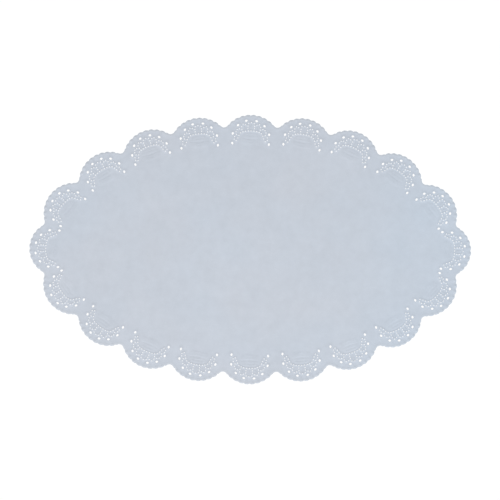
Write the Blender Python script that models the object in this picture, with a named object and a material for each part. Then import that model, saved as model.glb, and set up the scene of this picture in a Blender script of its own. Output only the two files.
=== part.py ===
"""Oval paper doily: one flat sheet with a scalloped, picoted edge and punched lace motifs.

Twenty scallops stand on a closed chain of equal chords. Each scallop is part of a disc whose rim is
cut into small picots, a small arc rounds the valley between neighbouring discs, and each scallop
carries the same fan of eight leaf holes. Metres, +Z up; the sheet lies on z = 0 with its long axis
along X and its centre at the origin.
"""

import math
from collections import namedtuple

import bmesh
import bpy
from mathutils import Matrix, Vector, geometry

SHEET_THICKNESS = 0.001
SCALLOP_CHORD = 0.0361

PICOT_PITCH = 0.00408
PICOT_RISE = 0.0006
PICOT_SEGMENTS = 4

VALLEY_RADIUS = 0.003
VALLEY_SEGMENTS = 4
VALLEY_FADE = 0.0012

LEAF_RING_RADIUS = 0.01283
LEAF_BEARINGS = (15.85, 44.6, 74.65, 104.5)
LEAF_LENGTH = 0.00185
LEAF_WIDTH = 0.00135
LEAF_CORNERS = 8
FAN_SKEW = -2.0

PAPER_COLOUR = (0.578, 0.624, 0.694, 1.0)
PAPER_ROUGHNESS = 0.85

# One quarter of the edge, from the long axis to the short axis. facing is the bearing in degrees of
# the scallop's outward side, disc_radius its round edge, and disc_depth and fan_depth are how far
# the centres of its disc and of its fan of holes lie inside its chord.
Scallop = namedtuple("Scallop", "facing disc_radius disc_depth fan_depth")
QUARTER = (
    Scallop(facing=0.0, disc_radius=0.0183, disc_depth=0.0092, fan_depth=0.0075),
    Scallop(facing=39.7, disc_radius=0.02075, disc_depth=0.0126, fan_depth=0.0082),
    Scallop(facing=57.0, disc_radius=0.02075, disc_depth=0.0126, fan_depth=0.0082),
    Scallop(facing=68.4, disc_radius=0.02075, disc_depth=0.0126, fan_depth=0.0082),
    Scallop(facing=82.9, disc_radius=0.02075, disc_depth=0.0126, fan_depth=0.0082),
    Scallop(facing=90.0, disc_radius=0.02075, disc_depth=0.0126, fan_depth=0.0082),
)

# A scallop in its place: the middle of its chord, the directions outwards and along its chord,
# and the centre and radius of its disc.
Placed = namedtuple("Placed", "scallop seat outward along centre radius")


def clear_scene():
    """Remove whatever the scene holds."""
    for obj in list(bpy.data.objects):
        bpy.data.objects.remove(obj, do_unlink=True)


def direction(degrees):
    """Unit vector in the sheet's plane at a bearing from +X."""
    return Vector((math.cos(math.radians(degrees)), math.sin(math.radians(degrees))))


def scallops_round_the_edge():
    """All twenty scallops, anticlockwise from the +X end, mirrored out of one quarter."""
    half = list(QUARTER) + [s._replace(facing=180.0 - s.facing) for s in QUARTER[-2::-1]]
    return half + [s._replace(facing=360.0 - s.facing) for s in half[-2:0:-1]]


def place_scallops():
    """Lay the scallops' equal chords end to end round the oval."""
    end_x = SCALLOP_CHORD * (0.5 + sum(direction(s.facing).y for s in QUARTER[1:-1]))
    corner = Vector((end_x, -SCALLOP_CHORD / 2))
    placed = []
    for scallop in scallops_round_the_edge():
        outward = direction(scallop.facing)
        along = direction(scallop.facing + 90.0)
        seat = corner + along * (SCALLOP_CHORD / 2)
        centre = seat - outward * scallop.disc_depth
        placed.append(Placed(scallop, seat, outward, along, centre, scallop.disc_radius))
        corner += along * SCALLOP_CHORD
    return placed


def hollow_between(before, after):
    """Centre of the arc that rounds the valley between the discs of two neighbouring scallops."""
    gap = after.centre - before.centre
    toward = gap.normalized()
    mine = before.radius + VALLEY_RADIUS
    other = after.radius + VALLEY_RADIUS
    reach = (gap.length**2 + mine**2 - other**2) / (2 * gap.length)
    rise = math.sqrt(mine**2 - reach**2)
    return before.centre + toward * reach + Vector((toward.y, -toward.x)) * rise


def valley_edge(before, after):
    """Edge points of the rounded valley between two neighbouring scallops."""
    hollow = hollow_between(before, after)
    first = (before.centre - hollow).normalized()
    turn = first.angle_signed((after.centre - hollow).normalized())
    points = []
    for number in range(VALLEY_SEGMENTS + 1):
        spoke = first.copy()
        spoke.rotate(Matrix.Rotation(-turn * number / VALLEY_SEGMENTS, 2))
        points.append(hollow + spoke * VALLEY_RADIUS)
    return points


def picot_height(arc_length, room):
    """Height of the picots over the disc's plain rim: round bumps with a notch at every pitch.

    They fade out where there is little room to the valley.
    """
    across = (arc_length / PICOT_PITCH) % 1.0
    bump = 4.0 * across * (1.0 - across)
    mean_bump = 2.0 / 3.0
    return PICOT_RISE * (bump - mean_bump) * min(1.0, room / VALLEY_FADE)


def scallop_edge(before, placed, after):
    """Edge points of one scallop, between its two rounded valleys."""

    def arc_length_to(point):
        spoke = point - placed.centre
        return placed.radius * math.atan2(spoke.dot(placed.along), spoke.dot(placed.outward))

    start = arc_length_to(hollow_between(before, placed))
    end = arc_length_to(hollow_between(placed, after))
    step = PICOT_PITCH / PICOT_SEGMENTS
    points = []
    for number in range(math.ceil(start / step + 0.5), math.floor(end / step - 0.5) + 1):
        arc_length = number * step
        height = picot_height(arc_length, min(arc_length - start, end - arc_length))
        turn = arc_length / placed.radius
        spoke = placed.outward * math.cos(turn) + placed.along * math.sin(turn)
        points.append(placed.centre + spoke * (placed.radius + height))
    return points


def leaf_rims(placed):
    """Rims of the eight leaf holes in one scallop's fan, longer round the fan than across it."""
    fan_centre = placed.seat - placed.outward * placed.scallop.fan_depth
    rims = []
    for bearing in sorted(side * bearing for bearing in LEAF_BEARINGS for side in (-1, 1)):
        turn = Matrix.Rotation(math.radians(placed.scallop.facing + bearing + FAN_SKEW), 2)
        rim = []
        for number in range(LEAF_CORNERS):
            angle = math.tau * (number + 0.5) / LEAF_CORNERS
            across = LEAF_WIDTH / 2 * math.cos(angle)
            along = LEAF_LENGTH / 2 * math.sin(angle)
            rim.append(fan_centre + turn @ Vector((LEAF_RING_RADIUS + across, along)))
        rims.append(rim)
    return rims


def fill_sheet(outline, rims):
    """Corners and triangles of the flat sheet between its outline and the rims of its holes."""
    points = list(outline)
    loops = [range(len(outline))]
    hole_of = {}
    for number, rim in enumerate(rims):
        loops.append(range(len(points), len(points) + len(rim)))
        hole_of.update((index, number) for index in loops[-1])
        points += rim
    edges = [(loop[i - 1], loop[i]) for loop in loops for i in range(len(loop))]
    keep_inside_outline = 1
    merge_distance = 1e-7
    filled = geometry.delaunay_2d_cdt(points, edges, [], keep_inside_outline, merge_distance)
    corners, triangles = filled[0], filled[2]

    def lies_in_a_hole(triangle):
        holes = {hole_of.get(index) for index in triangle}
        return len(holes) == 1 and None not in holes

    return corners, [triangle for triangle in triangles if not lies_in_a_hole(triangle)]


def paper_material():
    """Plain matt paper."""
    material = bpy.data.materials.new("paper")
    material.use_nodes = True
    shader = material.node_tree.nodes["Principled BSDF"]
    shader.inputs["Base Color"].default_value = PAPER_COLOUR
    shader.inputs["Roughness"].default_value = PAPER_ROUGHNESS
    shader.inputs["Metallic"].default_value = 0.0
    return material


def flat_sheet_mesh(placed):
    """The doily's outline and holes as a flat mesh that faces up."""
    outline = []
    rims = []
    for number, scallop in enumerate(placed):
        before = placed[number - 1]
        after = placed[(number + 1) % len(placed)]
        outline += valley_edge(before, scallop)
        outline += scallop_edge(before, scallop, after)
        rims += leaf_rims(scallop)
    corners, triangles = fill_sheet(outline, rims)

    shape = bmesh.new()
    vertices = [shape.verts.new((corner.x, corner.y, 0.0)) for corner in corners]
    for triangle in triangles:
        face = shape.faces.new([vertices[index] for index in triangle])
        face.normal_update()
        if face.normal.z < 0:
            face.normal_flip()
    mesh = bpy.data.meshes.new("doily")
    shape.to_mesh(mesh)
    shape.free()
    return mesh


def make_doily():
    """The doily: its flat mesh, thickened upwards from the surface it lies on."""
    mesh = flat_sheet_mesh(place_scallops())
    mesh.materials.append(paper_material())
    doily = bpy.data.objects.new("doily", mesh)
    bpy.context.scene.collection.objects.link(doily)
    thicken = doily.modifiers.new("sheet thickness", "SOLIDIFY")
    thicken.thickness = SHEET_THICKNESS
    thicken.offset = 1.0


clear_scene()
make_doily()
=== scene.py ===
"""Looks of the oval paper doily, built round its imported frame.

A thin sheet of white paper whose edge is twenty picoted scallops. Each scallop carries one fan of
lace: eight leaf holes, petals dotted out in pinholes, and an arch of pinholes over a few pressed
bands. The edge, the holes and the lines of the embossing die come from Geometry Nodes. A flat sheet
is filled between them, pressed by one more tree, given its thickness and dressed as paper.
Metres, +Z up; the sheet lies on z = 0 with its long axis along X.
"""

import logging
import math
from collections.abc import Iterable, Iterator, Sequence
from dataclasses import dataclass, field, replace
from enum import Enum
from typing import Any

import bpy
import numpy as np
from mathutils import Matrix, Vector, geometry
from mathutils.kdtree import KDTree

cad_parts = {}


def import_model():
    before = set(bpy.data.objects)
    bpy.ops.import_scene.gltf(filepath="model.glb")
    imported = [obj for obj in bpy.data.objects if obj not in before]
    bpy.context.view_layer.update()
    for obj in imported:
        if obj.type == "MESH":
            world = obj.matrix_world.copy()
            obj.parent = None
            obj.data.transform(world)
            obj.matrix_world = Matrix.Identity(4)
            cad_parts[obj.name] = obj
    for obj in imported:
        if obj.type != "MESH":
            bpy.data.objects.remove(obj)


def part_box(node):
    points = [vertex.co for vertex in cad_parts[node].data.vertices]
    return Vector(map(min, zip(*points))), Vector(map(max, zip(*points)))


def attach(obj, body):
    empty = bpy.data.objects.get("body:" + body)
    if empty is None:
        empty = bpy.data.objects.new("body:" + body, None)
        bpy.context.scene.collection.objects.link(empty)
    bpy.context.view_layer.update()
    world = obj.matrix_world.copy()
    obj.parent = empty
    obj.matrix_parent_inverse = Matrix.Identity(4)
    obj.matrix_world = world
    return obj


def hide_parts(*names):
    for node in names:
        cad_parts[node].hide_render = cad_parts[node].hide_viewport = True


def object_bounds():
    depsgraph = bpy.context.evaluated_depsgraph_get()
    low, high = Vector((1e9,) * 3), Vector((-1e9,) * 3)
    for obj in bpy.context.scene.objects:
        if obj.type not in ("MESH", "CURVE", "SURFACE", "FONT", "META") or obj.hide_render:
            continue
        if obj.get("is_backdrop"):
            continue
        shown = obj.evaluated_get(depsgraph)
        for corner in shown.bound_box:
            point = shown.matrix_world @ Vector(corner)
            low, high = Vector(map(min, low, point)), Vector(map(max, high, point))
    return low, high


log = logging.getLogger("doily")

MM = 0.001
CAD_NODE = "doily"
BODY = "root"

WHITE = (1.0, 1.0, 1.0, 1.0)
NOISE_MEAN = 0.5

# What the meshes keep on their points. Renderers keep the plain name density for volumes.
TURN = "turn"
OUTWARD = "outward"
ARC = "arc"
FREE = "free"
EDGE_GAP = "edge_gap"
# Greyer paper where the die pressed, with painted shade round the lips of the leaf holes.
GREY_AND_LIP_SHADE = "press_grey"


class Side(Enum):
    """The two mirrored halves of a fan."""

    LEFT = -1.0
    RIGHT = 1.0


class Hole(Enum):
    """The two kinds of punched hole."""

    LEAF = "leaf"
    PIN = "pin"


class Follows(Enum):
    """What the lines of a crease repeat round: the fan seats, or the crests of the picots."""

    FAN = "fan"
    PICOT = "picot"


# ---------------------------------------------------------------------------- node building


class Number:
    """One number on its way through a node tree. Arithmetic on it adds Math nodes."""

    def __init__(self, nodes: "Nodes", socket: bpy.types.NodeSocket) -> None:
        """Args: nodes: the tree's builder. socket: the output that carries the number."""
        self.nodes = nodes
        self.socket = socket

    def _maths(self, operation: str, *values: "Number | float") -> "Number":
        """Adds one Math node.

        Args:
            operation: what it does.
            values: what it does it to.

        Returns:
            The result.
        """
        inputs = dict(enumerate(values))
        node = self.nodes.add("ShaderNodeMath", {"operation": operation}, inputs)
        return Number(self.nodes, node.outputs[0])

    def __add__(self, other: "Number | float") -> "Number":
        """Returns the sum."""
        return self._maths("ADD", self, other)

    def __radd__(self, other: float) -> "Number":
        """Returns the sum, from a plain number."""
        return self._maths("ADD", other, self)

    def __sub__(self, other: "Number | float") -> "Number":
        """Returns the difference."""
        return self._maths("SUBTRACT", self, other)

    def __rsub__(self, other: float) -> "Number":
        """Returns the difference, from a plain number."""
        return self._maths("SUBTRACT", other, self)

    def __mul__(self, other: "Number | float") -> "Number":
        """Returns the product."""
        return self._maths("MULTIPLY", self, other)

    def __rmul__(self, other: float) -> "Number":
        """Returns the product, from a plain number."""
        return self._maths("MULTIPLY", other, self)

    def __truediv__(self, other: "Number | float") -> "Number":
        """Returns the quotient."""
        return self._maths("DIVIDE", self, other)

    def __rtruediv__(self, other: float) -> "Number":
        """Returns the quotient, from a plain number."""
        return self._maths("DIVIDE", other, self)

    def size(self) -> "Number":
        """Returns the number without its sign."""
        return self._maths("ABSOLUTE", self)

    def part_past_whole(self) -> "Number":
        """Returns what is left past the whole number."""
        return self._maths("FRACT", self)

    def step(self, start: float, end: float) -> "Number":
        """Returns a soft step.

        Args:
            start: where the step is still 0.
            end: where it has reached 1; below start, it falls instead.

        Returns:
            A number from 0 to 1.
        """
        return self.nodes.soft_step(self, start, end)


class Nodes:
    """Adds nodes to one tree, each through the same method."""

    def __init__(self, tree: bpy.types.NodeTree) -> None:
        """Args: tree: an empty shader or geometry tree."""
        self.tree = tree

    def add(
        self,
        kind: str,
        settings: dict[str, Any] | None = None,
        inputs: dict[str | int, Any] | None = None,
    ) -> bpy.types.Node:
        """Adds one node.

        Args:
            kind: the node's type.
            settings: its own properties, which are set first.
            inputs: values or links for its sockets, by name or place.

        Returns:
            The node.
        """
        node = self.tree.nodes.new(kind)
        for name, value in (settings or {}).items():
            setattr(node, name, value)
        for key, value in (inputs or {}).items():
            self.join(node.inputs[key], value)
        return node

    def join(self, socket: bpy.types.NodeSocket, value: Any) -> None:
        """Links an output to a socket, or sets the socket's own value.

        Args:
            socket: the input to fill.
            value: a Number, an output socket or a plain value.
        """
        if isinstance(value, Number):
            value = value.socket
        if isinstance(value, bpy.types.NodeSocket):
            self.tree.links.new(value, socket)
        else:
            socket.default_value = value

    def number(self, socket: bpy.types.NodeSocket) -> Number:
        """Returns the socket as a Number."""
        return Number(self, socket)

    def soft_step(self, value: Number, start: Number | float, end: Number | float) -> Number:
        """Returns a step from 0 at start to 1 at end, eased at both ends."""
        node = self.add(
            "ShaderNodeMapRange",
            {"interpolation_type": "SMOOTHERSTEP"},
            {"Value": value, "From Min": start, "From Max": end},
        )
        return self.number(node.outputs["Result"])

    def ridge(self, gap: Number, half_width: Number | float) -> Number:
        """Returns 1 where the gap is nothing, falling softly to 0 at half_width to each side."""
        return self.soft_step(gap.size(), half_width, 0.0)


class GeometryTree(Nodes):
    """A Geometry Nodes tree with named inputs and one geometry out."""

    def __init__(self, name: str) -> None:
        """Args: name: the tree's name."""
        super().__init__(bpy.data.node_groups.new(name, "GeometryNodeTree"))
        self.tree.interface.new_socket(
            "Geometry", in_out="OUTPUT", socket_type="NodeSocketGeometry"
        )
        self.inlet = self.add("NodeGroupInput")
        self.geometry = self.take("Geometry", "NodeSocketGeometry")

    def take(self, name: str, socket_type: str) -> bpy.types.NodeSocket:
        """Adds a named input.

        Args:
            name: the input's name.
            socket_type: its socket type.

        Returns:
            The socket that gives its value inside the tree.
        """
        self.tree.interface.new_socket(name, in_out="INPUT", socket_type=socket_type)
        return self.inlet.outputs[name]

    def take_number(self, name: str) -> Number:
        """Returns a new named input for a size."""
        return self.number(self.take(name, "NodeSocketFloat"))

    def take_shape(self, name: str) -> bpy.types.NodeSocket:
        """Returns the geometry of a new named input for an object."""
        chosen = self.take(name, "NodeSocketObject")
        return self.add("GeometryNodeObjectInfo", inputs={"Object": chosen}).outputs["Geometry"]

    def stored(self, name: str, data_type: str = "FLOAT") -> bpy.types.NodeSocket:
        """Reads an attribute.

        Args:
            name: the attribute's name.
            data_type: its type.

        Returns:
            The points' own values of it.
        """
        settings = {"data_type": data_type}
        node = self.add("GeometryNodeInputNamedAttribute", settings, {"Name": name})
        return node.outputs["Attribute"]

    def store(self, mesh: bpy.types.NodeSocket, name: str, value: Number) -> bpy.types.NodeSocket:
        """Returns the mesh with the value kept on its points under this name."""
        node = self.add(
            "GeometryNodeStoreNamedAttribute",
            {"data_type": "FLOAT", "domain": "POINT"},
            {"Geometry": mesh, "Name": name, "Value": value},
        )
        return node.outputs["Geometry"]

    def repeat(
        self, points: bpy.types.NodeSocket, shape: bpy.types.NodeSocket
    ) -> bpy.types.NodeSocket:
        """Puts a copy of the shape on each point, turned by the point's own turn.

        Args:
            points: geometry whose points carry the turn attribute, in radians.
            shape: the geometry to copy.

        Returns:
            The instances.
        """
        turned = self.add("ShaderNodeCombineXYZ", inputs={"Z": self.stored(TURN)})
        node = self.add(
            "GeometryNodeInstanceOnPoints",
            inputs={"Points": points, "Instance": shape, "Rotation": turned.outputs[0]},
        )
        return node.outputs["Instances"]

    def gap_to(self, lines: bpy.types.NodeSocket) -> Number:
        """Returns each point's distance from the nearest of these lines."""
        node = self.add(
            "GeometryNodeProximity", {"target_element": "EDGES"}, {"Geometry": lines}
        )
        return self.number(node.outputs["Distance"])

    def close(self, result: bpy.types.NodeSocket, finish: bpy.types.Material) -> None:
        """Ends the tree in Realize Instances and Set Material.

        Args:
            result: the geometry made.
            finish: the material that its faces get.
        """
        real = self.add("GeometryNodeRealizeInstances", inputs={"Geometry": result})
        dressed = self.add(
            "GeometryNodeSetMaterial",
            inputs={"Geometry": real.outputs[0], "Material": finish},
        )
        self.add("NodeGroupOutput", inputs={0: dressed.outputs[0]})

    def run(self, obj: bpy.types.Object, values: dict[str, Any]) -> None:
        """Puts the tree on an object as a modifier.

        Args:
            obj: the object whose mesh enters the tree.
            values: the named inputs' values.
        """
        modifier = obj.modifiers.new(self.tree.name, "NODES")
        modifier.node_group = self.tree
        for item in self.tree.interface.items_tree:
            if item.in_out == "INPUT" and item.name in values:
                modifier[item.identifier] = values[item.name]


# ---------------------------------------------------------------------------- meshes


def direction(angle: float) -> Vector:
    """Returns the unit vector in the sheet's plane at an angle from +X, in radians."""
    return Vector((math.cos(angle), math.sin(angle)))


def linked(name: str, data: bpy.types.ID) -> bpy.types.Object:
    """Makes an object.

    Args:
        name: its name.
        data: its mesh, lamp or camera.

    Returns:
        The object, linked into the scene.
    """
    made = bpy.data.objects.new(name, data)
    bpy.context.scene.collection.objects.link(made)
    return made


def flat_object(
    name: str,
    points: Iterable[Vector],
    edges: Sequence[tuple[int, int]] = (),
    faces: Sequence[Sequence[int]] = (),
) -> bpy.types.Object:
    """Makes an object whose mesh lies in the sheet's plane.

    Args:
        name: the object's name.
        points: its corners, in the plane.
        edges: pairs of corners.
        faces: loops of corners.

    Returns:
        The object, linked into the scene.
    """
    mesh = bpy.data.meshes.new(name)
    mesh.from_pydata([(p.x, p.y, 0.0) for p in points], edges, faces)
    return linked(name, mesh)


def keep_on_points(
    obj: bpy.types.Object, name: str, values: Sequence[Any], kind: str = "FLOAT"
) -> None:
    """Stores one value a point.

    Args:
        obj: the object whose mesh gets the attribute.
        name: the attribute's name.
        values: one for each point; a vector for the kind FLOAT_VECTOR.
        kind: the attribute's type.
    """
    attribute = obj.data.attributes.new(name, kind, "POINT")
    slot = "vector" if kind == "FLOAT_VECTOR" else "value"
    attribute.data.foreach_set(slot, np.array(values, np.float32).ravel())


def read_all(items: Any, name: str, kind: type = np.float32, across: int = 1) -> np.ndarray:
    """Reads one property of all the items.

    Args:
        items: a mesh's points, faces or corners, or the values of an attribute.
        name: the property.
        kind: the type of its numbers.
        across: how many numbers it has.

    Returns:
        A number for each item, or a row for each where the property has several.
    """
    found = np.empty(len(items) * across, kind)
    items.foreach_get(name, found)
    return found.reshape(-1, across) if across > 1 else found


def made_plain(obj: bpy.types.Object, name: str) -> bpy.types.Object:
    """Turns what the modifiers make of an object into a plain mesh.

    Args:
        obj: the object, which is removed.
        name: the new object's name.

    Returns:
        A new object without modifiers, at the origin.
    """
    graph = bpy.context.evaluated_depsgraph_get()
    mesh = bpy.data.meshes.new_from_object(obj.evaluated_get(graph), depsgraph=graph)
    remove(obj)
    mesh.name = name
    return linked(name, mesh)


def remove(obj: bpy.types.Object) -> None:
    """Deletes an object and its mesh.

    Args:
        obj: a helper that has done its work.
    """
    mesh = obj.data
    bpy.data.objects.remove(obj, do_unlink=True)
    bpy.data.meshes.remove(mesh)


def places(obj: bpy.types.Object) -> list[Vector]:
    """Returns the object's points in the sheet's plane."""
    return [vertex.co.xy for vertex in obj.data.vertices]


def loops(obj: bpy.types.Object) -> list[list[Vector]]:
    """Returns the corners of each face, in order round it, in the sheet's plane."""
    flat = places(obj)
    return [[flat[index] for index in face.vertices] for face in obj.data.polygons]


def strokes(obj: bpy.types.Object) -> list[tuple[Vector, Vector]]:
    """Returns the two ends of each edge, in the sheet's plane."""
    flat = places(obj)
    return [(flat[edge.vertices[0]], flat[edge.vertices[1]]) for edge in obj.data.edges]


def search_tree(points: Sequence[Vector]) -> KDTree:
    """Makes a tree that finds the nearest of some points.

    Args:
        points: the points, in the sheet's plane.

    Returns:
        The tree, which gives each point's number in their order.
    """
    tree = KDTree(len(points))
    for index, point in enumerate(points):
        tree.insert((point.x, point.y, 0.0), index)
    tree.balance()
    return tree


# ---------------------------------------------------------------------------- the edge


@dataclass(frozen=True)
class Scallop:
    """One scallop's form.

    facing is the bearing of its outward side, in degrees; disc_radius its round edge; disc_depth
    and fan_depth are how far the centres of its disc and of its fan lie inside its chord.
    """

    facing: float
    disc_radius: float
    disc_depth: float
    fan_depth: float

    def turned_to(self, facing: float) -> "Scallop":
        """Returns the same form facing another way."""
        return Scallop(facing, self.disc_radius, self.disc_depth, self.fan_depth)


END_SCALLOP = Scallop(facing=0.0, disc_radius=0.0183, disc_depth=0.0092, fan_depth=0.0075)
SIDE_SCALLOP = Scallop(facing=90.0, disc_radius=0.02075, disc_depth=0.0126, fan_depth=0.0082)
SIDE_FACINGS = (39.7, 57.0, 68.4, 82.9)


@dataclass(frozen=True)
class Seat:
    """A scallop in its place, which the middle of its chord gives."""

    scallop: Scallop
    middle: Vector

    @property
    def outward(self) -> Vector:
        """Returns the direction that the scallop faces."""
        return direction(math.radians(self.scallop.facing))

    @property
    def along(self) -> Vector:
        """Returns the direction of its chord, anticlockwise round the sheet."""
        return direction(math.radians(self.scallop.facing + 90.0))

    @property
    def centre(self) -> Vector:
        """Returns the centre of its disc."""
        return self.middle - self.outward * self.scallop.disc_depth

    @property
    def fan_centre(self) -> Vector:
        """Returns the centre of its fan of holes."""
        return self.middle - self.outward * self.scallop.fan_depth

    def arc_length_to(self, point: Vector) -> float:
        """Returns how far along the disc's rim a point lies from the middle of the scallop."""
        spoke = point - self.centre
        return self.scallop.disc_radius * math.atan2(
            spoke.dot(self.along), spoke.dot(self.outward)
        )

    def valley_before(self, after: "Seat", radius: float) -> Vector:
        """Places the arc that rounds the valley between this disc and the next.

        Args:
            after: the next scallop's seat.
            radius: the arc's radius.

        Returns:
            The arc's centre.
        """
        gap = after.centre - self.centre
        toward = gap.normalized()
        mine = self.scallop.disc_radius + radius
        other = after.scallop.disc_radius + radius
        reach = (gap.length**2 + mine**2 - other**2) / (2 * gap.length)
        rise = math.sqrt(mine**2 - reach**2)
        return self.centre + toward * reach + Vector((toward.y, -toward.x)) * rise


@dataclass
class ScallopedEdge:
    """The cut edge: twenty scallops on a closed chain of equal chords, cut into picots."""

    length: float
    picot_pitch: float = 4.08 * MM
    picot_rise: float = 0.6 * MM
    picot_segments: int = 8
    valley_radius: float = 3.0 * MM
    valley_segments: int = 6
    valley_fade: float = 1.2 * MM
    least_freedom: float = 0.5
    seats: list[Seat] = field(init=False)
    outline: bpy.types.Object = field(init=False)

    def __post_init__(self) -> None:
        """Lays the chords end to end round the oval, from the +X end."""
        chord = self.chord
        corner = Vector((self._half_length_in_chords * chord, -chord / 2))
        self.seats = []
        for scallop in self._scallops():
            along = direction(math.radians(scallop.facing + 90.0))
            self.seats.append(Seat(scallop, corner + along * (chord / 2)))
            corner = corner + along * chord

    @property
    def _half_length_in_chords(self) -> float:
        """Returns how far the end scallop's chord lies from the middle, in chords."""
        return 0.5 + sum(math.sin(math.radians(facing)) for facing in SIDE_FACINGS)

    @property
    def chord(self) -> float:
        """Works the chord out from the sheet's length.

        Returns:
            The chord with which the crests beside the ends of the sheet give it that length.
        """
        crest_over_mean = 1.0 / 3.0
        crest = END_SCALLOP.disc_radius + self.picot_rise * crest_over_mean
        bearing = self.picot_pitch / (2 * END_SCALLOP.disc_radius)
        end_reach = crest * math.cos(bearing) - END_SCALLOP.disc_depth
        return (self.length / 2 - end_reach) / self._half_length_in_chords

    @staticmethod
    def _scallops() -> list[Scallop]:
        """Mirrors one quarter of the edge twice.

        Returns:
            All twenty scallops, anticlockwise from the +X end.
        """
        sides = [SIDE_SCALLOP.turned_to(facing) for facing in SIDE_FACINGS]
        quarter = [END_SCALLOP, *sides, SIDE_SCALLOP]
        half = quarter + [s.turned_to(180.0 - s.facing) for s in quarter[-2::-1]]
        return half + [s.turned_to(360.0 - s.facing) for s in half[-2:0:-1]]

    def _plain_rim(self) -> Iterator[tuple[Vector, Vector, float, float]]:
        """Goes round the rim before it is cut.

        Yields:
            A point, its outward direction, its arc length and its freedom, which falls to 0
            towards a valley, because the picots leave the valley where it is.
        """
        step = self.picot_pitch / self.picot_segments
        for number, seat in enumerate(self.seats):
            before = self.seats[number - 1]
            after = self.seats[(number + 1) % len(self.seats)]
            hollow = before.valley_before(seat, self.valley_radius)
            start = seat.arc_length_to(hollow)
            end = seat.arc_length_to(seat.valley_before(after, self.valley_radius))
            yield from self._rounded_valley(before, seat, hollow)
            radius = seat.scallop.disc_radius
            for place in range(math.ceil(start / step + 0.5), math.floor(end / step - 0.5) + 1):
                arc = place * step
                spoke = seat.outward * math.cos(arc / radius) + seat.along * math.sin(arc / radius)
                room = min(arc - start, end - arc)
                yield seat.centre + spoke * radius, spoke, arc, min(1.0, room / self.valley_fade)

    def _rounded_valley(
        self, before: Seat, after: Seat, hollow: Vector
    ) -> Iterator[tuple[Vector, Vector, float, float]]:
        """Goes round a valley, from one disc to the next.

        Args:
            before: the seat of the scallop before the valley.
            after: the seat of the one after it.
            hollow: the centre of the valley's arc.

        Yields:
            The same as for the plain rim.
        """
        first = (before.centre - hollow).normalized()
        turn = first.angle_signed((after.centre - hollow).normalized())
        for place in range(self.valley_segments + 1):
            share = place / self.valley_segments
            spoke = first.copy()
            spoke.rotate(Matrix.Rotation(-turn * share, 2))
            yield hollow + spoke * self.valley_radius, -spoke, 0.0, 0.0

    def cut(self, finish: bpy.types.Material) -> None:
        """Makes the outline, a closed ring of edges, and cuts its picots.

        Args:
            finish: the material that ends the tree.
        """
        points, outwards, arcs, freedoms = zip(*self._plain_rim())
        count = len(points)
        ring = flat_object("plain_rim", points, [(i, (i + 1) % count) for i in range(count)])
        keep_on_points(ring, OUTWARD, [(*o, 0.0) for o in outwards], "FLOAT_VECTOR")
        keep_on_points(ring, ARC, arcs)
        keep_on_points(ring, FREE, freedoms)
        keep_on_points(ring, TURN, [math.atan2(o.y, o.x) for o in outwards])
        values = {"Picot pitch": self.picot_pitch, "Picot rise": self.picot_rise}
        self._picot_tree(finish).run(ring, values)
        self.outline = made_plain(ring, "cut_edge")

    @staticmethod
    def _picot_tree(finish: bpy.types.Material) -> GeometryTree:
        """Builds the picots: round bumps with a notch between.

        Args:
            finish: the material that ends the tree.

        Returns:
            The tree, which moves the rim in and out.
        """
        tree = GeometryTree("PicotEdge")
        pitch = tree.take_number("Picot pitch")
        rise = tree.take_number("Picot rise")
        mean_bump = 2.0 / 3.0
        across = (tree.number(tree.stored(ARC)) / pitch).part_past_whole()
        bump = 4.0 * across * (1.0 - across) - mean_bump
        height = bump * rise * tree.number(tree.stored(FREE))
        offset = tree.add(
            "ShaderNodeVectorMath",
            {"operation": "SCALE"},
            {0: tree.stored(OUTWARD, "FLOAT_VECTOR"), "Scale": height},
        )
        moved = tree.add(
            "GeometryNodeSetPosition",
            inputs={"Geometry": tree.geometry, "Offset": offset.outputs[0]},
        )
        tree.close(moved.outputs[0], finish)
        return tree

    def crest_seats(self) -> bpy.types.Object:
        """Finds the crests of the picots.

        Returns:
            Points on the crests, each turned outwards.
        """
        kept = self.outline.data.attributes
        arcs, turns, freedoms = (read_all(kept[name].data, "value") for name in (ARC, TURN, FREE))
        across = (arcs / self.picot_pitch) % 1.0
        crest_at = 0.5
        slack = 0.25 / self.picot_segments
        crest = (np.abs(across - crest_at) < slack) & (freedoms > self.least_freedom)
        flat = places(self.outline)
        chosen = np.flatnonzero(crest)
        seats = flat_object("picot_crests", [flat[i] for i in chosen])
        keep_on_points(seats, TURN, turns[chosen])
        return seats

    def fan_seats(self, skew: float) -> bpy.types.Object:
        """Lays out the fans.

        Args:
            skew: how far every fan is turned from its scallop, in degrees.

        Returns:
            Points at the fans' centres, each turned as its fan is.
        """
        seats = flat_object("fan_seats", [seat.fan_centre for seat in self.seats])
        turns = [math.radians(seat.scallop.facing + skew) for seat in self.seats]
        keep_on_points(seats, TURN, turns)
        return seats


# ---------------------------------------------------------------------------- the lace


@dataclass(frozen=True)
class Crease:
    """Lines of the embossing die and the ridge that they press, a groove where rise is below 0.

    Each line is a run of (across, outward) places in millimetres. In a fan they are measured from
    its centre and mirrored; on a picot, from its crest. density says how much greyer the paper is
    pressed there, from 0 to 1, and spread how far that reaches.
    """

    name: str
    follows: Follows
    lines: tuple[tuple[tuple[float, float], ...], ...]
    rise: float
    half_width: float
    density: float = 0.0
    spread: float = 1.0 * MM


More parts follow.
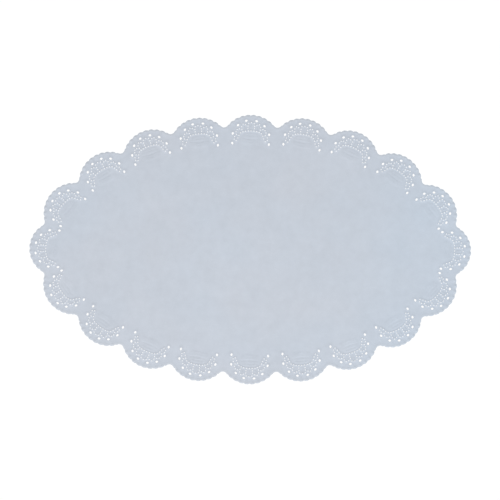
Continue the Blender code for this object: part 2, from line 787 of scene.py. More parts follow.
@dataclass
class LaceFan:
    """The chart of one scallop's fan: where its holes are punched and its creases pressed.

    Places are (across, outward) from the fan's centre, in millimetres, for the right half.
    """

    skew: float = -2.0
    leaf_ring: float = 12.83 * MM
    leaf_bearings: tuple[float, ...] = (15.9, 44.6, 74.7, 104.5)
    leaf_length: float = 1.93 * MM
    leaf_width: float = 1.46 * MM
    leaf_taper: float = 0.22
    leaf_corners: int = 14
    pin_diameter: float = 0.78 * MM
    pin_corners: int = 8
    arch_pins: tuple[tuple[float, float], ...] = (
        (0.0, 5.6),
        (1.9, 5.5),
        (3.8, 5.3),
        (5.5, 4.8),
        (7.1, 4.0),
        (8.1, 2.3),
        (8.8, 0.5),
        (9.8, -1.3),
    )
    petal_pins: tuple[tuple[float, float], ...] = (
        (0.0, 11.3),
        (1.9, 10.7),
        (2.2, 8.8),
        (2.2, 7.2),
        (3.9, 9.7),
        (5.6, 10.0),
        (6.5, 8.3),
        (6.2, 6.4),
        (8.0, 6.9),
        (9.5, 6.2),
        (10.2, 4.6),
        (9.8, 2.9),
        (11.1, 1.3),
        (11.3, -0.4),
    )
    petal_cords: tuple[tuple[tuple[float, float], ...], ...] = (
        ((1.9, 5.5), (2.2, 7.2), (2.2, 8.8), (1.9, 10.7), (0.0, 11.3)),
        ((2.2, 8.8), (3.9, 9.7), (5.6, 10.0), (6.5, 8.3), (6.2, 6.4), (5.5, 4.8)),
        ((6.2, 6.4), (8.0, 6.9), (9.5, 6.2), (10.2, 4.6), (9.8, 2.9), (8.1, 2.3)),
        ((9.8, 2.9), (11.1, 1.3), (11.3, -0.4), (9.8, -1.3)),
    )
    petal_veins: tuple[tuple[tuple[float, float], ...], ...] = (
        ((0.0, 6.9), (0.0, 9.9)),
        ((4.1, 6.7), (4.4, 7.7), (4.8, 8.6)),
        ((7.5, 5.2), (8.1, 5.3), (8.7, 4.9)),
        ((10.1, 0.9), (10.4, -0.1)),
    )

    def _mirrored(self, charted: Iterable[tuple[float, float]]) -> Iterator[Vector]:
        """Mirrors places that are not on the fan's axis.

        Args:
            charted: (across, outward) in millimetres, in the right half.

        Yields:
            Places of both halves, in metres, in a frame whose +X points outwards.
        """
        for across, outward in charted:
            for side in Side:
                if across or side is Side.RIGHT:
                    yield Vector((outward, side.value * across)) * MM

    def chart_of(self, hole: Hole) -> bpy.types.Object:
        """Charts one kind of hole.

        Args:
            hole: the kind.

        Returns:
            The places of its holes in a fan, each with its turn.
        """
        if hole is Hole.LEAF:
            turns = [s.value * math.radians(b) for b in self.leaf_bearings for s in Side]
            points = [direction(turn) * self.leaf_ring for turn in turns]
        else:
            points = list(self._mirrored(self.arch_pins + self.petal_pins))
            turns = [0.0] * len(points)
        chart = flat_object(f"{hole.value}_chart", points)
        keep_on_points(chart, TURN, turns)
        return chart

    def size_of(self, hole: Hole) -> dict[str, float | int]:
        """Sizes one kind of hole.

        Args:
            hole: the kind.

        Returns:
            The values of the punch's named inputs.
        """
        if hole is Hole.LEAF:
            return {
                "Hole length": self.leaf_length,
                "Hole width": self.leaf_width,
                "Taper": self.leaf_taper,
                "Corners": self.leaf_corners,
            }
        return {
            "Hole length": self.pin_diameter,
            "Hole width": self.pin_diameter,
            "Taper": 0.0,
            "Corners": self.pin_corners,
        }

    @staticmethod
    def _band(height: float, half_span: float, smile: float) -> tuple[tuple[float, float], ...]:
        """Curves one pressed band across the arch.

        Args:
            height: how far outward its middle lies, in millimetres.
            half_span: how far it reaches to each side.
            smile: how far its ends are raised.

        Returns:
            The places of its right half.
        """
        steps = 4
        return tuple(
            (half_span * step / steps, height + smile * (step / steps) ** 2)
            for step in range(steps + 1)
        )

    def creases(self) -> tuple[Crease, ...]:
        """Lists the creases of the die, fan and picot alike.

        Returns:
            The cords that join the pinholes, the veins of the petals, the bands under the arch, a
            faint hollow and the greyer window among them, and the ribs behind the picots.
        """
        bands = (
            self._band(3.45, 4.6, -0.5),
            self._band(1.4, 5.2, 0.2),
            self._band(-1.0, 5.6, 0.5),
            self._band(-2.75, 5.2, 0.6),
        )
        hollow = (self._band(2.75, 4.6, 0.2),)
        window = (((0.0, 2.2), (0.0, -2.8)), ((0.0, 0.6), (3.4, 0.4)))
        rib = (((0.0, -0.95), (0.0, -2.2)),)
        cords = (self.arch_pins, *self.petal_cords)
        veins = self.petal_veins
        fan, picot = Follows.FAN, Follows.PICOT
        return (
            Crease("Cord", fan, cords, 0.25 * MM, 0.8 * MM),
            Crease("Vein", fan, veins, 0.18 * MM, 0.5 * MM, density=0.5, spread=1.1 * MM),
            Crease("Band", fan, bands, 0.19 * MM, 0.8 * MM, density=0.05, spread=1.2 * MM),
            Crease("Hollow", fan, hollow, -0.03 * MM, 0.6 * MM, density=0.4, spread=0.7 * MM),
            Crease("Window", fan, window, 0.0, 1.0 * MM, density=0.12, spread=6.3 * MM),
            Crease("Picot rib", picot, rib, 0.28 * MM, 1.3 * MM),
        )

    def strokes_of(self, crease: Crease) -> bpy.types.Object:
        """Draws a crease once.

        Args:
            crease: the crease.

        Returns:
            Its lines as edges, in the frame of what they follow.
        """
        points: list[Vector] = []
        edges: list[tuple[int, int]] = []
        for line in crease.lines:
            plain = crease.follows is Follows.PICOT or all(across == 0.0 for across, _ in line)
            for side in (Side.RIGHT,) if plain else Side:
                start = len(points)
                points += [Vector((outward, side.value * across)) * MM for across, outward in line]
                edges += [(start + i, start + i + 1) for i in range(len(line) - 1)]
        return flat_object(f"{crease.name}_lines", points, edges)


@dataclass
class Punch:
    """The punch and the die, laid out round the edge by two trees."""

    fan: LaceFan
    edge: ScallopedEdge
    finish: bpy.types.Material
    hole_tree: GeometryTree = field(init=False)
    line_tree: GeometryTree = field(init=False)

    def __post_init__(self) -> None:
        """Builds both trees."""
        self.hole_tree = self._make_hole_tree()
        self.line_tree = self._make_line_tree()

    def _make_hole_tree(self) -> GeometryTree:
        """Builds the punch: a disc one unit wide, shaped into a hole that narrows at its ends.

        Returns:
            The tree, which puts a hole's face on each place of a chart, in each fan.
        """
        tree = GeometryTree("PunchedHoles")
        chart = tree.take_shape("Chart")
        length = tree.take_number("Hole length")
        width = tree.take_number("Hole width")
        taper = tree.take_number("Taper")
        corners = tree.take("Corners", "NodeSocketInt")
        half_a_unit = 0.5
        disc = tree.add(
            "GeometryNodeMeshCircle",
            {"fill_type": "NGON"},
            {"Vertices": corners, "Radius": half_a_unit},
        )
        position = tree.add("GeometryNodeInputPosition")
        parted = tree.add("ShaderNodeSeparateXYZ", inputs={0: position.outputs[0]})
        across = tree.number(parted.outputs["X"])
        along = tree.number(parted.outputs["Y"])
        to_end = along / half_a_unit
        narrowed = across * width * (1.0 - taper * (to_end * to_end))
        joined = tree.add("ShaderNodeCombineXYZ", inputs={"X": narrowed, "Y": along * length})
        shaped = tree.add(
            "GeometryNodeSetPosition",
            inputs={"Geometry": disc.outputs[0], "Position": joined.outputs[0]},
        )
        one_fan = tree.repeat(chart, shaped.outputs[0])
        tree.close(tree.repeat(tree.geometry, one_fan), self.finish)
        return tree

    def _make_line_tree(self) -> GeometryTree:
        """Builds the die.

        Returns:
            The tree, which repeats a crease's lines on each of its seats.
        """
        tree = GeometryTree("DieLines")
        lines = tree.take_shape("Lines")
        tree.close(tree.repeat(tree.geometry, lines), self.finish)
        return tree

    def holes(self, hole: Hole) -> bpy.types.Object:
        """Punches one kind of hole.

        Args:
            hole: the kind.

        Returns:
            One face for each hole, all round the edge.
        """
        chart = self.fan.chart_of(hole)
        seats = self.edge.fan_seats(self.fan.skew)
        self.hole_tree.run(seats, {"Chart": chart, **self.fan.size_of(hole)})
        made = made_plain(seats, f"{hole.value}_holes")
        remove(chart)
        return made

    def lines(self, crease: Crease) -> bpy.types.Object:
        """Lays out one crease of the die.

        Args:
            crease: the crease.

        Returns:
            Its lines as edges, all round the sheet.
        """
        stroke = self.fan.strokes_of(crease)
        in_fans = crease.follows is Follows.FAN
        seats = self.edge.fan_seats(self.fan.skew) if in_fans else self.edge.crest_seats()
        self.line_tree.run(seats, {"Lines": stroke})
        made = made_plain(seats, f"{crease.name}_die")
        remove(stroke)
        return made


# ---------------------------------------------------------------------------- the sheet


@dataclass
class SpacedPoints:
    """Points in the sheet's plane, none nearer than its own clearance to those taken before."""

    cell: float
    points: list[Vector] = field(default_factory=list)
    _cells: dict[tuple[int, int], list[Vector]] = field(default_factory=dict)

    def _place(self, point: Vector) -> tuple[int, int]:
        """Returns the cell that a point lies in."""
        return math.floor(point.x / self.cell), math.floor(point.y / self.cell)

    def take(self, point: Vector, clearance: float = 0.0) -> bool:
        """Takes a point if it has room.

        Args:
            point: the point.
            clearance: the room that it needs.

        Returns:
            True if it was taken.
        """
        column, row = self._place(point)
        reach = math.ceil(clearance / self.cell)
        for i in range(column - reach, column + reach + 1):
            for j in range(row - reach, row + reach + 1):
                for other in self._cells.get((i, j), ()):
                    if (other - point).length < clearance:
                        return False
        self._cells.setdefault((column, row), []).append(point)
        self.points.append(point)
        return True


@dataclass
class SheetFill:
    """Fills the flat sheet between its cut edge and its holes, closely where it is pressed.

    share is the room that a point of a grid needs, in pitches of the grid.
    """

    edge: ScallopedEdge
    rims: list[list[Vector]]
    creases: list[tuple[Crease, bpy.types.Object]]
    edge_rows: tuple[float, ...] = (0.42 * MM, 0.85 * MM, 1.35 * MM)
    leaf_collars: tuple[float, ...] = (0.3 * MM, 0.65 * MM)
    pin_collars: tuple[float, ...] = (0.26 * MM,)
    collar_clearance: float = 0.2 * MM
    stroke_step: float = 0.55 * MM
    stroke_clearance: float = 0.32 * MM
    lace_pitch: float = 0.95 * MM
    margin_pitch: float = 1.7 * MM
    field_pitch: float = 3.2 * MM
    fan_reach: float = 14.8 * MM
    fan_foot: float = -5.5 * MM
    margin: float = 4.0 * MM
    smallest_leaf: float = 1.0 * MM
    share: float = 0.8
    ring: list[Vector] = field(init=False)
    middles: list[Vector] = field(init=False)
    radii: list[float] = field(init=False)
    ring_tree: KDTree = field(init=False)
    hole_tree: KDTree = field(init=False)

    def __post_init__(self) -> None:
        """Measures the edge and the holes, for the tests of what lies on the sheet."""
        self.ring = places(self.edge.outline)
        self.ring_tree = search_tree(self.ring)
        self.middles = [sum(rim, Vector((0.0, 0.0))) / len(rim) for rim in self.rims]
        self.radii = [max((p - m).length for p in r) for r, m in zip(self.rims, self.middles)]
        self.hole_tree = search_tree(self.middles)

    def _inward(self, index: int) -> Vector:
        """Turns inwards at the edge.

        Args:
            index: which point of the edge.

        Returns:
            The direction into the sheet there.
        """
        before, after = self.ring[index - 1], self.ring[(index + 1) % len(self.ring)]
        along = (after - before).normalized()
        return Vector((-along.y, along.x))

    def _on_paper(self, point: Vector, clearance: float) -> bool:
        """Tests where a point lies.

        Args:
            point: the point.
            clearance: how far it has to lie from the edge, and twice how far from a hole.

        Returns:
            Whether it lies on the sheet, clear of both.
        """
        spot = (point.x, point.y, 0.0)
        _, index, gap = self.ring_tree.find(spot)
        if gap < clearance or (point - self.ring[index]).dot(self._inward(index)) < 0.0:
            return False
        _, index, gap = self.hole_tree.find(spot)
        return gap > self.radii[index] + clearance / 2

    def _in_lace(self, point: Vector, margin: float = 0.0) -> bool:
        """Tests whether a point lies in the lace.

        Args:
            point: the point.
            margin: how far outside a fan still counts.

        Returns:
            Whether it lies in a fan or within the margin.
        """
        for seat in self.edge.seats:
            gap = point - seat.fan_centre
            if gap.length < self.fan_reach + margin:
                if gap.dot(seat.outward) > self.fan_foot - margin:
                    return True
        return False

    def _collars(self) -> Iterator[Vector]:
        """Goes round the holes.

        Yields:
            Points in rings round each.
        """
        for rim, middle, radius in zip(self.rims, self.middles, self.radii):
            leaf = 2 * radius > self.smallest_leaf
            for gap in self.leaf_collars if leaf else self.pin_collars:
                for point in rim:
                    spoke = point - middle
                    yield middle + spoke * (1.0 + gap / spoke.length)

    def _edge_points(self) -> Iterator[Vector]:
        """Goes along the cut edge.

        Yields:
            Points in rows inside it.
        """
        for gap in self.edge_rows:
            for index, point in enumerate(self.ring):
                yield point + self._inward(index) * gap

    def _stroke_points(self) -> Iterator[Vector]:
        """Goes along the creases.

        Yields:
            Points on the crest and at the feet of each.
        """
        for crease, lines in self.creases:
            for start, end in strokes(lines):
                run = end - start
                side = Vector((-run.y, run.x)).normalized() * crease.half_width
                steps = max(1, round(run.length / self.stroke_step))
                for step in range(steps + 1):
                    point = start + run * (step / steps)
                    yield from (point, point + side, point - side)

    def _grid(self, pitch: float) -> Iterator[Vector]:
        """Goes over a triangular grid that covers the sheet.

        Args:
            pitch: the distance between neighbours.

        Yields:
            Its points.
        """
        low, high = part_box(CAD_NODE)
        row_pitch = pitch * math.sqrt(3) / 2
        for row in range(math.ceil((high.y - low.y) / row_pitch)):
            shift = pitch / 2 if row % 2 else 0.0
            for column in range(math.ceil((high.x - low.x) / pitch)):
                yield Vector((low.x + shift + column * pitch, low.y + row * row_pitch))

    def points(self) -> list[Vector]:
        """Sets out the points of the sheet.

        Returns:
            The edge's points, the rims' points and then all that lie between them.
        """
        taken = SpacedPoints(self.lace_pitch)
        for point in self.ring:
            taken.take(point)
        for rim in self.rims:
            for point in rim:
                taken.take(point)
        near = (
            (self._collars(), self.collar_clearance),
            (self._edge_points(), self.stroke_clearance),
            (self._stroke_points(), self.stroke_clearance),
        )
        for candidates, clearance in near:
            for point in candidates:
                if self._on_paper(point, self.collar_clearance):
                    taken.take(point, clearance)
        for pitch, margin in ((self.lace_pitch, 0.0), (self.margin_pitch, self.margin)):
            for point in self._grid(pitch):
                if self._in_lace(point, margin) and self._on_paper(point, self.share * pitch):
                    taken.take(point, self.share * pitch)
        for point in self._grid(self.field_pitch):
            if self._on_paper(point, self.field_pitch):
                taken.take(point, self.share * self.field_pitch)
        return taken.points

    def fill(self) -> bpy.types.Object:
        """Fills the sheet.

        Returns:
            Triangles that face up, with the holes left open.
        """
        points = self.points()
        loop_ranges = [range(len(self.ring))]
        hole_of: dict[int, int] = {}
        for number, rim in enumerate(self.rims):
            start = loop_ranges[-1].stop
            loop_ranges.append(range(start, start + len(rim)))
            hole_of.update((index, number) for index in loop_ranges[-1])
        edges = [(loop[i - 1], loop[i]) for loop in loop_ranges for i in range(len(loop))]
        inside_the_outline = 1
        merge_distance = 1e-7
        filled = geometry.delaunay_2d_cdt(points, edges, [], inside_the_outline, merge_distance)

        def in_a_hole(triangle: Sequence[int]) -> bool:
            """Returns whether all its corners are on the rim of one hole."""
            holes = {hole_of.get(index, -1 - index) for index in triangle}
            return len(holes) == 1

        paper = [t for t in filled[2] if not in_a_hole(t)]
        log.info("flat sheet: %d points, %d triangles", len(filled[0]), len(paper))
        return flat_object("flat_sheet", filled[0], (), paper)


@dataclass
class Press:
    """The embossing press: one tree that raises the creases, the lips of the holes and the rim."""

    leaf_lip: float = 0.17 * MM
    leaf_lip_gap: float = 0.28 * MM
    leaf_lip_half_width: float = 0.5 * MM
    # Painted shade round the raised lips of the leaf holes: how far it spreads and how dark it is.
    leaf_lip_shade_spread: float = 0.7 * MM
    leaf_lip_shade: float = 0.9
    pin_lip: float = 0.06 * MM
    pin_lip_half_width: float = 0.27 * MM
    edge_cord: float = 0.12 * MM
    edge_cord_gap: float = 0.85 * MM
    edge_cord_half_width: float = 0.45 * MM
    lift: float = 0.35 * MM
    lift_reach: float = 32.0 * MM
    lift_wave: float = 70.0 * MM
    wave_detail: float = 1.0
    wave_foot: float = 0.35
    wave_crest: float = 0.7
    seed: float = 4.0

    def tree(self, creases: Sequence[Crease], finish: bpy.types.Material) -> GeometryTree:
        """Builds the press.

        Args:
            creases: the creases of the die.
            finish: the material that the sheet gets.

        Returns:
            The tree, whose inputs are the lines and sizes of all that it raises.
        """
        tree = GeometryTree("EmbossingPress")
        cut_edge = tree.gap_to(tree.take_shape("Cut edge"))
        leaves = tree.gap_to(tree.take_shape("Leaf holes"))
        pins = tree.gap_to(tree.take_shape("Pin holes"))
        lip_gap = leaves - tree.take_number("Leaf lip gap")
        height = tree.take_number("Leaf lip") * tree.ridge(
            lip_gap, tree.take_number("Leaf lip half width")
        )
        # Painted shade: the paper is darkened in a ring round the raised lip of each leaf hole.
        density = self.leaf_lip_shade * tree.ridge(lip_gap, self.leaf_lip_shade_spread)
        height += tree.take_number("Pin lip") * tree.ridge(
            pins, tree.take_number("Pin lip half width")
        )
        height += tree.take_number("Edge cord") * tree.ridge(
            cut_edge - tree.take_number("Edge cord gap"),
            tree.take_number("Edge cord half width"),
        )
        for crease in creases:
            gap = tree.gap_to(tree.take_shape(f"{crease.name} lines"))
            ridge = tree.ridge(gap, tree.take_number(f"{crease.name} half width"))
            height += tree.take_number(f"{crease.name} rise") * ridge
            density += crease.density * tree.ridge(gap, crease.spread)
        # The pressed grey of the creases and the painted shade round the leaf lips, kept for the
        # finish.
        pressed = tree.store(tree.geometry, GREY_AND_LIP_SHADE, density)
        measured = tree.store(pressed, EDGE_GAP, cut_edge)
        waves = tree.add(
            "ShaderNodeTexNoise",
            {"noise_dimensions": "4D"},
            {
                "W": tree.take_number("Seed"),
                "Scale": tree.take_number("Waves"),
                "Detail": self.wave_detail,
            },
        )
        waviness = tree.number(waves.outputs[0]).step(self.wave_foot, self.wave_crest)
        near_edge = tree.soft_step(cut_edge, tree.take_number("Lift reach"), 0.0)
        raised = height + tree.take_number("Lift") * waviness * near_edge
        offset = tree.add("ShaderNodeCombineXYZ", inputs={"Z": raised})
        moved = tree.add(
            "GeometryNodeSetPosition", inputs={"Geometry": measured, "Offset": offset.outputs[0]}
        )
        tree.close(moved.outputs[0], finish)
        return tree

    def values(
        self,
        edge: bpy.types.Object,
        holes: dict[Hole, bpy.types.Object],
        creases: Sequence[tuple[Crease, bpy.types.Object]],
    ) -> dict[str, Any]:
        """Gathers what the tree is given.

        Args:
            edge: the cut edge.
            holes: the faces of the holes, by kind.
            creases: each crease with its lines.

        Returns:
            The values of the tree's named inputs.
        """
        values: dict[str, Any] = {
            "Cut edge": edge,
            "Leaf holes": holes[Hole.LEAF],
            "Pin holes": holes[Hole.PIN],
            "Leaf lip": self.leaf_lip,
            "Leaf lip gap": self.leaf_lip_gap,
            "Leaf lip half width": self.leaf_lip_half_width,
            "Pin lip": self.pin_lip,
            "Pin lip half width": self.pin_lip_half_width,
            "Edge cord": self.edge_cord,
            "Edge cord gap": self.edge_cord_gap,
            "Edge cord half width": self.edge_cord_half_width,
            "Lift": self.lift,
            "Lift reach": self.lift_reach,
            "Waves": 1.0 / self.lift_wave,
            "Seed": self.seed,
        }
        for crease, lines in creases:
            values[f"{crease.name} lines"] = lines
            values[f"{crease.name} rise"] = crease.rise
            values[f"{crease.name} half width"] = crease.half_width
        return values


@dataclass
class FlatMap:
    """The finished sheet's own map: its top laid out flat and its underside beyond it, mirrored.

    Each wall is folded out past its rim, so that no face is a line and none lies on another.
    top_place and underside_shift are in shares of the map.
    """

    name: str = "OFBake"
    width: float = 370.0 * MM
    wall_width: float = 0.15 * MM
    top_place: tuple[float, float] = (0.5, 0.25)
    underside_shift: float = 0.5

    def lay(self, sheet: bpy.types.Object) -> None:
        """Gives the sheet the map.

        Args:
            sheet: the finished sheet. The first half of its points is its top, and the second half
                its underside in the same order.
        """
        mesh = sheet.data
        half = len(mesh.vertices) // 2
        flat = read_all(mesh.vertices, "co", across=3)[:half, :2]
        normals = read_all(mesh.polygons, "normal", across=3)[:, :2]
        starts = read_all(mesh.polygons, "loop_start", np.int32)
        sizes = read_all(mesh.polygons, "loop_total", np.int32)
        corners = read_all(mesh.loops, "vertex_index", np.int32)
        face_of = np.repeat(np.arange(len(starts)), sizes)
        low = corners >= half
        low_count = np.add.reduceat(low.astype(np.int32), starts)
        underside = (low_count == sizes)[face_of]
        wall = (low_count > 0)[face_of] & ~underside
        points = corners % half

        outwards = np.zeros_like(flat)
        np.add.at(outwards, points[wall], normals[face_of[wall]])
        least_length = 1e-9
        outwards /= np.maximum(np.linalg.norm(outwards, axis=1, keepdims=True), least_length)
        folded = (wall & low)[:, None] * self.wall_width
        spots = (flat[points] + outwards[points] * folded) / self.width
        spots[underside, 0] *= -1.0
        spots += self.top_place
        spots[underside, 1] += self.underside_shift
        layer = mesh.uv_layers.new(name=self.name)
        layer.uv.foreach_set("vector", spots.astype(np.float32).ravel())


@dataclass
class DoilySheet:
    """The whole doily: one sheet of paper, cut, punched, pressed and laid flat."""

    length: float
    fan: LaceFan = field(default_factory=LaceFan)
    press: Press = field(default_factory=Press)
    thickness: float = 0.1 * MM
    sharp_angle: float = 50.0
    name: str = "lace_paper"

    def build(self, finish: bpy.types.Material) -> bpy.types.Object:
        """Makes the sheet.

        Args:
            finish: its paper.

        Returns:
            The finished piece, a closed mesh whose lowest points are at z = 0.
        """
        edge = ScallopedEdge(self.length)
        edge.cut(finish)
        punch = Punch(self.fan, edge, finish)
        holes = {hole: punch.holes(hole) for hole in Hole}
        creases = [(crease, punch.lines(crease)) for crease in self.fan.creases()]
        rims = [rim for hole in Hole for rim in loops(holes[hole])]
        flat = SheetFill(edge, rims, creases).fill()
        tree = self.press.tree([crease for crease, _ in creases], finish)
        tree.run(flat, self.press.values(edge.outline, holes, creases))
        wall = flat.modifiers.new("PaperThickness", "SOLIDIFY")
        wall.thickness = self.thickness
        wall.offset = -1.0
        sheet = made_plain(flat, self.name)
        for helper in (edge.outline, *holes.values(), *(lines for _, lines in creases)):
            remove(helper)
        self._settle(sheet)
        FlatMap().lay(sheet)
        sheet.data.shade_smooth()
        sheet.data.set_sharp_from_angle(angle=math.radians(self.sharp_angle))
        log.info("%s: %d leaf and pin holes", self.name, len(rims))
        return sheet

    @staticmethod
    def _settle(sheet: bpy.types.Object) -> None:
        """Brings the sheet's lowest points down to z = 0."""
        lowest = min(vertex.co.z for vertex in sheet.data.vertices)
        sheet.data.transform(Matrix.Translation((0.0, 0.0, -lowest)))


# ---------------------------------------------------------------------------- the paper


@dataclass(frozen=True)
class Mottle:
    """One layer of unevenness in paper.

    size is the width of its largest patches; detail, how many finer octaves it has; roughness, the
    strength of each octave beside the last; and seed, which patches.
    """

    size: float
    detail: float
    roughness: float
    seed: float


class ShaderTree(Nodes):
    """A shader tree, with the texture nodes that the paper needs."""

    def __init__(self, name: str) -> None:
        """Args: name: the material's name."""
        self.material = bpy.data.materials.new(name)
        self.material.use_nodes = True
        super().__init__(self.material.node_tree)
        self.tree.nodes.clear()
        self.where = self.add("ShaderNodeTexCoord").outputs["Object"]

    def mottled(self, layer: Mottle, where: Any = None) -> Number:
        """Adds one layer of cloudy noise.

        Args:
            layer: its size, form and seed.
            where: other coordinates than the piece's own.

        Returns:
            The noise, from 0 to 1.
        """
        node = self.add(
            "ShaderNodeTexNoise",
            {"noise_dimensions": "4D"},
            {
                "Vector": where or self.where,
                "W": layer.seed,
                "Scale": 1.0 / layer.size,
                "Detail": layer.detail,
                "Roughness": layer.roughness,
            },
        )
        return self.number(node.outputs[0])

    def kept(self, name: str) -> Number:
        """Returns a number that the mesh keeps on its points."""
        node = self.add("ShaderNodeAttribute", {"attribute_name": name})
        return self.number(node.outputs["Fac"])

    def mix(self, share: Number, first: Any, second: Any, blend: str = "MIX") -> Any:
        """Returns a colour between two, or one laid over the other in another blend."""
        node = self.add(
            "ShaderNodeMix",
            {"data_type": "RGBA", "blend_type": blend},
            {"Factor": share, "A": first, "B": second},
        )
        return node.outputs["Result"]


@dataclass(frozen=True)
class PaperFinish:
    """Thin white lace paper: matt, faintly cloudy and fibrous, greyer where it is pressed, with
    painted shade round the lips of the leaf holes and along the cut edge.
    """

    half_length: float
    name: str = "lace_paper_finish"
    warm_tone: tuple[float, float, float] = (0.580, 0.615, 0.680)
    cool_tone: tuple[float, float, float] = (0.553, 0.622, 0.711)
    # Painted shade: a warm darker band along the raised cord just inside the cut edge.
    edge_shade_tone: tuple[float, float, float] = (1.0, 0.988, 0.972)
    clouds: Mottle = Mottle(45.0 * MM, detail=3.0, roughness=0.95, seed=5.0)
    cloud_depth: float = 0.12
    mottle: Mottle = Mottle(8.0 * MM, detail=1.0, roughness=1.0, seed=9.0)
    mottle_depth: float = 0.10
    grain: Mottle = Mottle(2.4 * MM, detail=1.0, roughness=0.8, seed=6.0)
    grain_depth: float = 0.04
    hairs: Mottle = Mottle(0.9 * MM, detail=1.0, roughness=0.5, seed=11.0)
    hair_angles: tuple[float, ...] = (15.0, 75.0, 135.0)
    hair_stretch: float = 5.0
    hair_width: float = 0.05
    fibre_mean: float = 0.3
    fibre_depth: float = 0.012
    # How far the pressed grey and the painted shade round the leaf lips darken the paper.
    grey_and_shade_depth: float = 0.045
    patches: Mottle = Mottle(60.0 * MM, detail=2.0, roughness=0.7, seed=64.0)
    patch_depth: float = 1.0
    middle_drift: float = 0.3
    drift_start: float = 0.1
    drift_end: float = 1.1
    # Where the painted shade along the cut edge lies, and how wide it is.
    edge_shade_gap: float = 0.8 * MM
    edge_shade_half_width: float = 0.75 * MM
    tooth: Mottle = Mottle(0.35 * MM, detail=2.0, roughness=0.6, seed=8.0)
    fibre_height: float = 0.6
    grain_height: float = 0.5
    bump_height: float = 0.03 * MM
    bump_strength: float = 0.5
    roughness: float = 0.86
    roughness_depth: float = 0.1
    shine: float = 0.3

    def material(self) -> bpy.types.Material:
        """Mixes the paper.

        Returns:
            The finish as a material.
        """
        tree = ShaderTree(self.name)
        clouds = tree.mottled(self.clouds) - NOISE_MEAN
        mottle = tree.mottled(self.mottle) - NOISE_MEAN
        grain = tree.mottled(self.grain)
        fibres = self._fibres(tree)
        shade = 1.0 + clouds * self.cloud_depth + (grain - NOISE_MEAN) * self.grain_depth
        shade = shade + mottle * self.mottle_depth
        shade = shade + (fibres - self.fibre_mean) * self.fibre_depth
        # Greyer where the die pressed, and painted shade round the lips of the leaf holes.
        shade = shade - tree.kept(GREY_AND_LIP_SHADE) * self.grey_and_shade_depth
        colour = tree.add(
            "ShaderNodeVectorMath",
            {"operation": "SCALE"},
            {0: self._toned(tree), "Scale": shade},
        )
        tooth = tree.mottled(self.tooth)
        bump = tree.add(
            "ShaderNodeBump",
            inputs={
                "Strength": self.bump_strength,
                "Distance": self.bump_height,
                "Height": tooth + self.fibre_height * fibres + self.grain_height * grain,
            },
        )
        shader = tree.add(
            "ShaderNodeBsdfPrincipled",
            inputs={
                "Base Color": colour.outputs[0],
                "Roughness": self.roughness + self.roughness_depth * clouds,
                "Specular IOR Level": self.shine,
                "Normal": bump.outputs[0],
            },
        )
        tree.add("ShaderNodeOutputMaterial", inputs={"Surface": shader.outputs[0]})
        return tree.material

    @staticmethod
    def _colour(tone: tuple[float, float, float]) -> tuple[float, float, float, float]:
        """Returns a tone as a colour socket takes it."""
        return (*tone, 1.0)

    def _toned(self, tree: ShaderTree) -> Any:
        """Lays the paper's tones.

        Args:
            tree: the finish's tree.

        Returns:
            Its colour before it is shaded, with painted shade along the cut edge.
        """
        warm, cool = self._colour(self.warm_tone), self._colour(self.cool_tone)
        drifted = tree.mix(self._drift(tree), warm, cool)
        # Painted shade along the raised cord just inside the cut edge, multiplied into the colour.
        gap = tree.kept(EDGE_GAP) - self.edge_shade_gap
        band = tree.ridge(gap, self.edge_shade_half_width)
        return tree.mix(band, drifted, self._colour(self.edge_shade_tone), "MULTIPLY")

    def _drift(self, tree: ShaderTree) -> Number:
        """Drifts the tone, patch by patch, and towards that of the +X end.

        Args:
            tree: the finish's tree.

        Returns:
            How far it has drifted, from 0 to 1.
        """
        parted = tree.add("ShaderNodeSeparateXYZ", inputs={0: tree.where})
        along = tree.number(parted.outputs["X"]) / self.half_length
        patches = tree.mottled(self.patches) - NOISE_MEAN
        to_ends = (1.0 - self.middle_drift) * along.step(self.drift_start, self.drift_end)
        return self.middle_drift + to_ends + patches * self.patch_depth

    def _fibres(self, tree: ShaderTree) -> Number:
        """Lays fine hairs several ways.

        Args:
            tree: the finish's tree.

        Returns:
            A number that is 1 on a hair, and more where hairs cross.
        """
        laid_hairs = []
        for number, angle in enumerate(self.hair_angles):
            laid = tree.add(
                "ShaderNodeMapping",
                {"vector_type": "TEXTURE"},
                {
                    "Vector": tree.where,
                    "Rotation": (0.0, 0.0, math.radians(angle)),
                    "Scale": (self.hair_stretch, 1.0, 1.0),
                },
            )
            layer = replace(self.hairs, seed=self.hairs.seed + number)
            paths = tree.mottled(layer, laid.outputs[0]) - NOISE_MEAN
            laid_hairs.append(tree.ridge(paths, self.hair_width))
        first, *others = laid_hairs
        return sum(others, first)


# ---------------------------------------------------------------------------- the studio


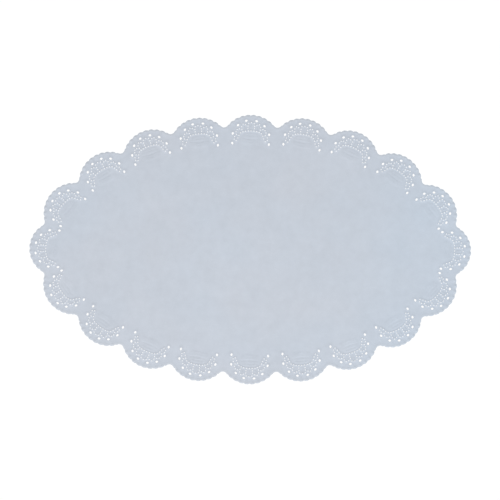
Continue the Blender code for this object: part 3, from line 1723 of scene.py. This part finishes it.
@dataclass
class Studio:
    """A plain white floor under soft even light, with the camera straight above."""

    lens: float = 100.0
    sensor: float = 36.0
    frame_width: float = 0.3397
    offset: tuple[float, float] = (-0.00012, -0.00026)
    roll: float = 0.3
    floor_size: float = 8.0
    floor_drop: float = 0.00005
    sky_share: float = 0.65
    key_share: float = 0.35
    key_place: tuple[float, float, float] = (-0.1, -2.0, 1.8)
    key_size: float = 0.6
    floor_tone: float = 0.02
    floor_glow: float = 1.0
    floor_roughness: float = 0.9

    def build(self) -> None:
        """Makes the floor, the light and the camera."""
        self._floor()
        self._light()
        self._camera()
        bpy.context.scene.view_settings.view_transform = "Standard"

    def _floor(self) -> None:
        """Lays the floor just under the sheet."""
        half = self.floor_size / 2
        corners = [Vector((x, y)) for x, y in ((-1, -1), (1, -1), (1, 1), (-1, 1))]
        floor = flat_object("floor", [c * half for c in corners], (), [(0, 1, 2, 3)])
        floor.data.transform(Matrix.Translation((0.0, 0.0, -self.floor_drop)))
        tree = ShaderTree("floor_white")
        shader = tree.add(
            "ShaderNodeBsdfPrincipled",
            inputs={
                "Base Color": (self.floor_tone, self.floor_tone, self.floor_tone, 1.0),
                "Roughness": self.floor_roughness,
                "Specular IOR Level": 0.0,
                "Emission Color": WHITE,
                "Emission Strength": self.floor_glow,
            },
        )
        tree.add("ShaderNodeOutputMaterial", inputs={"Surface": shader.outputs[0]})
        floor.data.materials.append(tree.material)
        floor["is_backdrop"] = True

    def _light(self) -> None:
        """Sets an even white sky and one soft lamp from the near side.

        The lamp lights the sheet as much as its share of a white sky would.
        """
        world = bpy.data.worlds.new("studio")
        world.use_nodes = True
        world.node_tree.nodes.clear()
        nodes = Nodes(world.node_tree)
        sky = nodes.add(
            "ShaderNodeBackground",
            inputs={"Color": WHITE, "Strength": self.sky_share},
        )
        nodes.add("ShaderNodeOutputWorld", inputs={"Surface": sky.outputs[0]})
        bpy.context.scene.world = world
        place = Vector(self.key_place)
        lamp = bpy.data.lights.new("key", "AREA")
        lamp.shape = "DISK"
        lamp.size = self.key_size
        facing = place.z / place.length
        lamp.energy = self.key_share * math.pi**2 * place.length_squared / facing
        key = linked("key", lamp)
        key.location = place
        key.rotation_euler = place.to_track_quat("Z", "Y").to_euler()

    def _camera(self) -> None:
        """Hangs the camera over the sheet."""
        camera_data = bpy.data.cameras.new("camera")
        camera_data.lens = self.lens
        camera_data.sensor_width = self.sensor
        height = self.frame_width * self.lens / self.sensor
        camera = linked("camera", camera_data)
        camera.location = (*self.offset, height)
        camera.rotation_euler = (0.0, 0.0, math.radians(self.roll))
        bpy.context.scene.camera = camera


def main() -> None:
    """Builds the doily round its frame, dresses it and lights it."""
    logging.basicConfig(level=logging.INFO, format="%(name)s: %(message)s")
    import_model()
    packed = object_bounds()
    low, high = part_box(CAD_NODE)
    Studio().build()
    paper = PaperFinish(half_length=(high.x - low.x) / 2).material()
    sheet = DoilySheet(length=high.x - low.x).build(paper)
    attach(sheet, BODY)
    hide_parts(CAD_NODE)
    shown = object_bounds()
    for name, box in (("packed", packed), ("shown", shown)):
        log.info("%s box: %s to %s", name, *[tuple(round(v, 5) for v in c) for c in box])


if __name__ == "__main__":
    main()
